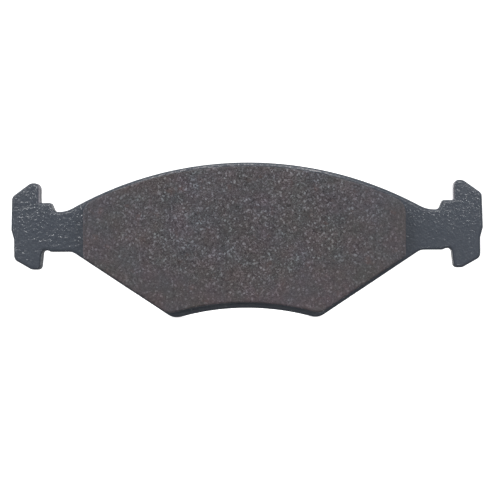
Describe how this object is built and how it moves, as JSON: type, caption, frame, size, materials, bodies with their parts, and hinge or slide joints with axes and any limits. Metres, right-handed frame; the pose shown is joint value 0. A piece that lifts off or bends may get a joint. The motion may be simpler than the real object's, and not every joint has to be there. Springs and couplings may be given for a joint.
{
  "type": "brake pad",
  "caption": "Disc brake pad: friction block with an arched outer edge, bonded to a stamped steel plate with hammerhead ears and a rubber-coated noise shim on its back.",
  "frame": {"origin": "on the ground plane below the middle of the pad, where it stands on its two lower lobes", "axes": "+X along the pad, +Z away from the wheel centre, +Y from the friction face to the shim on the back"},
  "size_m": [0.156, 0.0178, 0.0511],
  "materials": {
    "painted_steel": "satin",
    "bond_resin": "satin",
    "underlayer_compound": "matte",
    "friction_compound": "matte",
    "adhesive": "satin",
    "shim_rubber": "matte",
    "shim_steel": "satin"
  },
  "bodies": {
    "root": {"backing_plate": "painted_steel", "bond_film": "bond_resin", "underlayer": "underlayer_compound", "friction_lining": "friction_compound", "shim_adhesive": "adhesive", "shim_inner_rubber": "shim_rubber", "shim_steel_core": "shim_steel", "shim_outer_rubber": "shim_rubber"}
  },
  "joints": []
}
